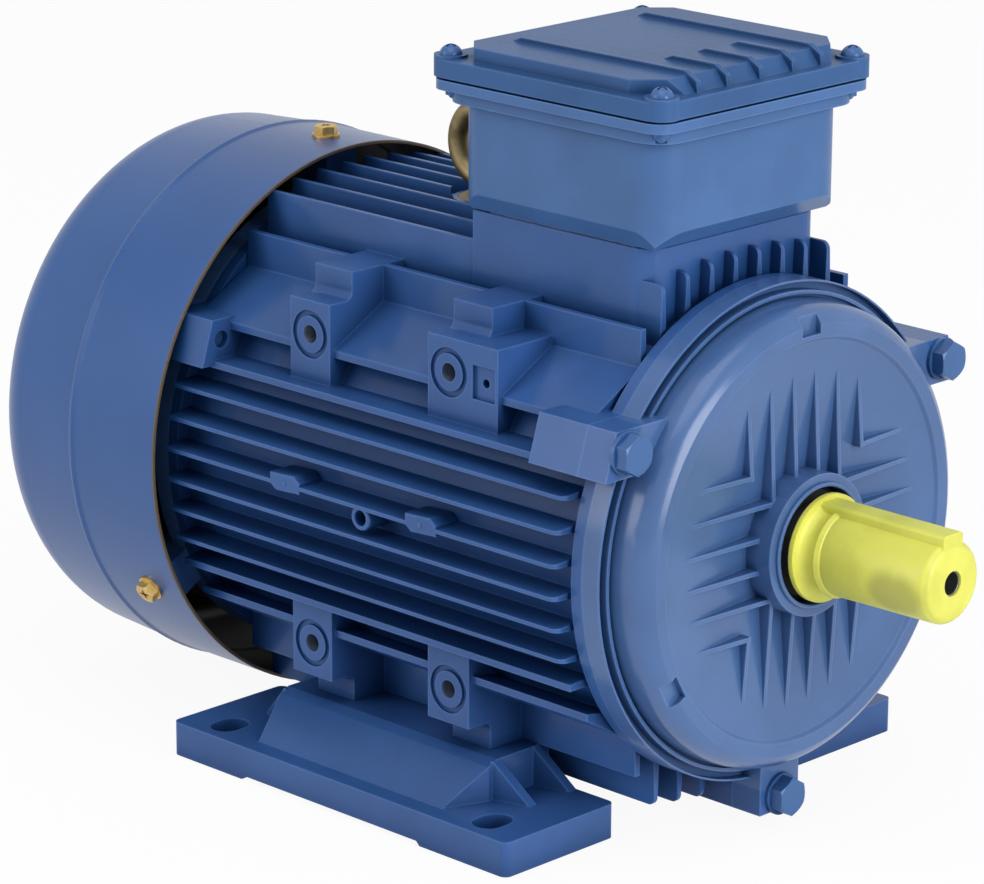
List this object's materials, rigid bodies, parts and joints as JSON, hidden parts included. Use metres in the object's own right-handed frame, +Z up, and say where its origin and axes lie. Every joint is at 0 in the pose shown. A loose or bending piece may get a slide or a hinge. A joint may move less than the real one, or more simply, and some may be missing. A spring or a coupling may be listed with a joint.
{
  "type": "three-phase electric motor",
  "caption": "Foot-mounted three-phase induction motor: finned housing, domed end shield, fan cowl, top terminal box and keyed shaft end under a plastic transport sleeve.",
  "frame": {"origin": "on the foot plane, midway between the two front foot slots, straight below the shaft axis", "axes": "+X along the shaft out of the drive end, +Z up, +Y towards the side with the cable gland"},
  "size_m": [0.3966, 0.2184, 0.2844],
  "materials": {
    "housing_paint": "semi-gloss",
    "cowl_paint": "semi-gloss",
    "bolt_paint": "semi-gloss",
    "yellow_zinc": "satin",
    "sleeve_plastic": "satin",
    "black_rubber": "matt",
    "pale_gasket": "matt",
    "bright_steel": "satin",
    "bearing_steel": "polished",
    "electrical_steel": "satin",
    "copper": "varnished",
    "brass": "satin",
    "cast_aluminium": "as cast",
    "board_plastic": "matt",
    "black_plastic": "satin",
    "cage_plastic": "satin"
  },
  "bodies": {
    "stator": {"stator_frame": "housing_paint", "drive_end_shield": "housing_paint", "fan_end_shield": "housing_paint", "drive_end_bolts": "bolt_paint", "drive_end_washers": "bolt_paint", "fan_end_bolts": "bolt_paint", "fan_end_washers": "bolt_paint", "foot_left": "housing_paint", "foot_right": "housing_paint", "foot_bolts": "bright_steel", "terminal_box": "housing_paint", "box_gasket": "pale_gasket", "box_screws": "bright_steel", "terminal_lid": "housing_paint", "lid_gasket": "black_rubber", "lid_screws": "bolt_paint", "terminal_board": "board_plastic", "terminal_studs": "brass", "terminal_links": "brass", "terminal_nuts": "brass", "earth_screw": "brass", "cable_gland": "black_plastic", "gland_nut": "black_plastic", "gland_locknut": "black_plastic", "blanking_plug": "black_plastic", "eyebolt": "yellow_zinc", "fan_cowl": "cowl_paint", "cowl_screws": "yellow_zinc", "cowl_washers": "yellow_zinc", "front_bearing_outer_ring": "bearing_steel", "rear_bearing_outer_ring": "bearing_steel", "wave_washer": "bright_steel", "stator_core": "electrical_steel", "stator_winding": "copper"},
    "rotor": {"shaft": "bright_steel", "shaft_key": "bright_steel", "shaft_seal": "black_rubber", "front_bearing_inner_ring": "bearing_steel", "rear_bearing_inner_ring": "bearing_steel", "rotor_core": "electrical_steel", "rotor_cage_ends": "cast_aluminium", "fan": "black_plastic", "fan_clip": "bright_steel"},
    "front_ball_set": {"front_bearing_balls": "bearing_steel", "front_bearing_cage": "cage_plastic"},
    "rear_ball_set": {"rear_bearing_balls": "bearing_steel", "rear_bearing_cage": "cage_plastic"},
    "sleeve": {"shaft_sleeve": "sleeve_plastic"}
  },
  "joints": [
    {"name": "rotor_spin", "type": "hinge", "parent": "stator", "child": "rotor", "pos_m": [0, 0, 0.112], "axis": [1, 0, 0], "continuous": true},
    {"name": "front_cage_spin", "type": "hinge", "parent": "stator", "child": "front_ball_set", "pos_m": [0.045, 0, 0.112], "axis": [1, 0, 0], "continuous": true},
    {"name": "rear_cage_spin", "type": "hinge", "parent": "stator", "child": "rear_ball_set", "pos_m": [-0.189, 0, 0.112], "axis": [1, 0, 0], "continuous": true},
    {"name": "sleeve_pull", "type": "slide", "parent": "rotor", "child": "sleeve", "axis": [1, 0, 0], "range_m": [0, 0.065]}
  ],
  "couplings": [
    {"joint": "front_cage_spin", "follows": "rotor_spin", "ratio": 0.3965},
    {"joint": "rear_cage_spin", "follows": "rotor_spin", "ratio": 0.3965}
  ]
}
